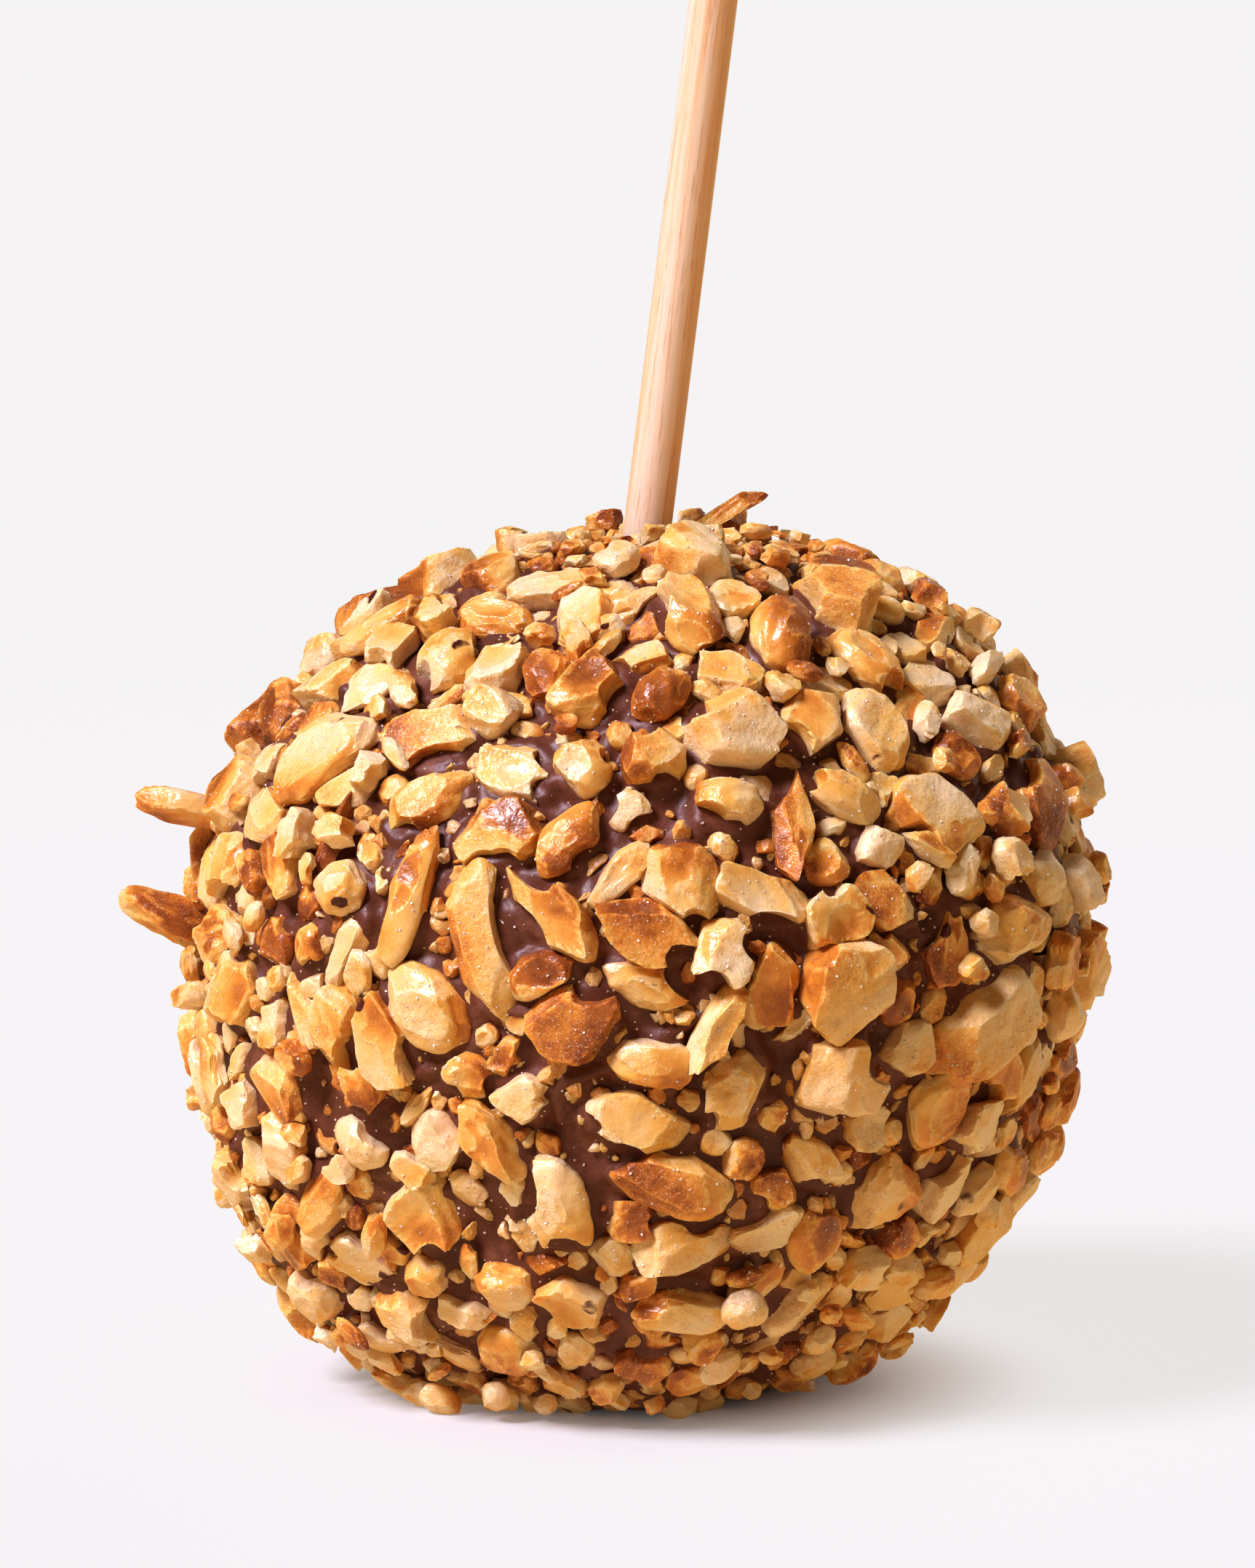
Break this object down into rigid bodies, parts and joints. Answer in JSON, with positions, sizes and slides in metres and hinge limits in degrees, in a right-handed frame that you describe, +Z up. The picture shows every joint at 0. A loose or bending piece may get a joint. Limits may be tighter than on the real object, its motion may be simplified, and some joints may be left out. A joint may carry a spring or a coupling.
{
  "type": "candy apple with chopped peanuts",
  "caption": "Chocolate-coated candy apple rolled in chopped peanuts, on a round wooden stick, standing on a small flat foot.",
  "frame": {"origin": "on the apple's flat foot, straight under the middle of its waist", "axes": "+Z up from the foot to the crown and the stick; +X is the way the stick leans; -Y is the front"},
  "size_m": [0.0961, 0.0917, 0.1744],
  "materials": {
    "nut_coat": "matte roasted peanuts on milk chocolate",
    "wood": "plain birch"
  },
  "bodies": {
    "root": {"coated_apple": "nut_coat", "stick": "wood"}
  },
  "joints": []
}
